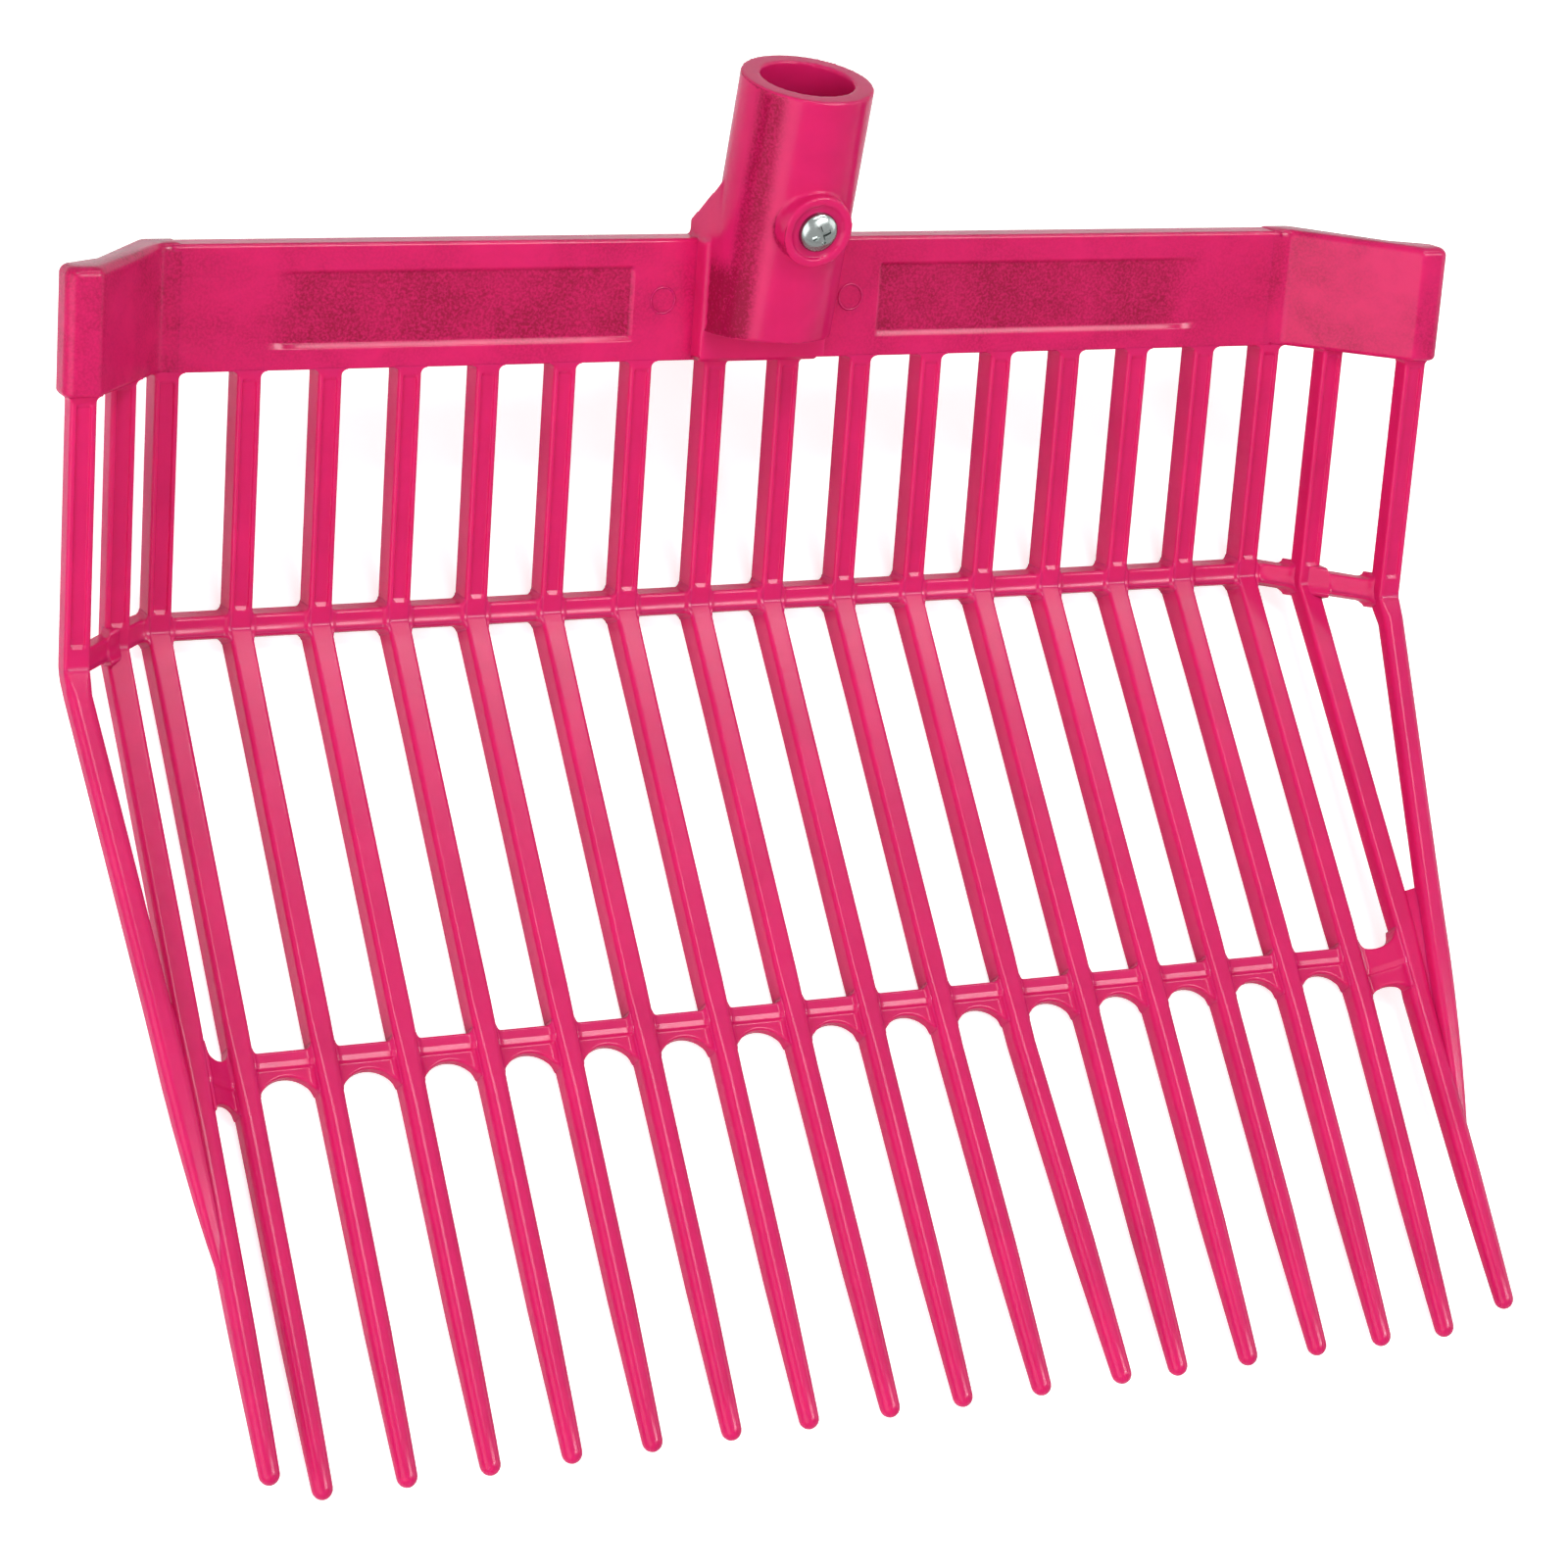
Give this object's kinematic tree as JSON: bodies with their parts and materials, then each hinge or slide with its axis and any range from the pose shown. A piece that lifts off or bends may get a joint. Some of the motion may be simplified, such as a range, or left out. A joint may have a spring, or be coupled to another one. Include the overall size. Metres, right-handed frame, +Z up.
{
  "type": "shavings fork head",
  "caption": "Basket-shaped fork head for sifting bedding, with tapered tines, raised sides and a handle socket closed by a screw.",
  "frame": {"origin": "on the ground under the middle of the head's bounding box, with the tines lying flat on the ground", "axes": "+X across the fork to the right as seen from behind the handle socket's open side, +Y from the tine tips back towards the socket, +Z up"},
  "size_m": [0.403, 0.343, 0.1275],
  "materials": {
    "fork_plastic": "glossy moulded polycarbonate, pink",
    "screw": "bright zinc plate"
  },
  "bodies": {
    "root": {"handle_screw": "screw", "handle_socket": "fork_plastic", "left_brace": "fork_plastic", "left_crossbar_end": "fork_plastic", "left_end_web": "fork_plastic", "left_header": "fork_plastic", "left_wing": "fork_plastic", "lower_crossbar": "fork_plastic", "right_brace": "fork_plastic", "right_crossbar_end": "fork_plastic", "right_end_web": "fork_plastic", "right_header": "fork_plastic", "right_wing": "fork_plastic", "tine_01": "fork_plastic", "tine_02": "fork_plastic", "tine_03": "fork_plastic", "tine_04": "fork_plastic", "tine_05": "fork_plastic", "tine_06": "fork_plastic", "tine_07": "fork_plastic", "tine_08": "fork_plastic", "tine_09": "fork_plastic", "tine_10": "fork_plastic", "tine_11": "fork_plastic", "tine_12": "fork_plastic", "tine_13": "fork_plastic", "tine_14": "fork_plastic", "tine_15": "fork_plastic", "tine_16": "fork_plastic", "tine_17": "fork_plastic", "tine_18": "fork_plastic", "upper_crossbar": "fork_plastic", "wall_bar_01": "fork_plastic", "wall_bar_02": "fork_plastic", "wall_bar_03": "fork_plastic", "wall_bar_04": "fork_plastic", "wall_bar_05": "fork_plastic", "wall_bar_06": "fork_plastic", "wall_bar_07": "fork_plastic", "wall_bar_08": "fork_plastic", "wall_bar_09": "fork_plastic", "wall_bar_10": "fork_plastic", "wall_bar_11": "fork_plastic", "wall_bar_12": "fork_plastic", "wall_bar_13": "fork_plastic", "wall_bar_14": "fork_plastic", "wall_bar_15": "fork_plastic", "wall_bar_16": "fork_plastic", "wall_bar_17": "fork_plastic", "wall_bar_18": "fork_plastic", "wall_bar_19": "fork_plastic", "wall_bar_20": "fork_plastic"}
  },
  "joints": []
}
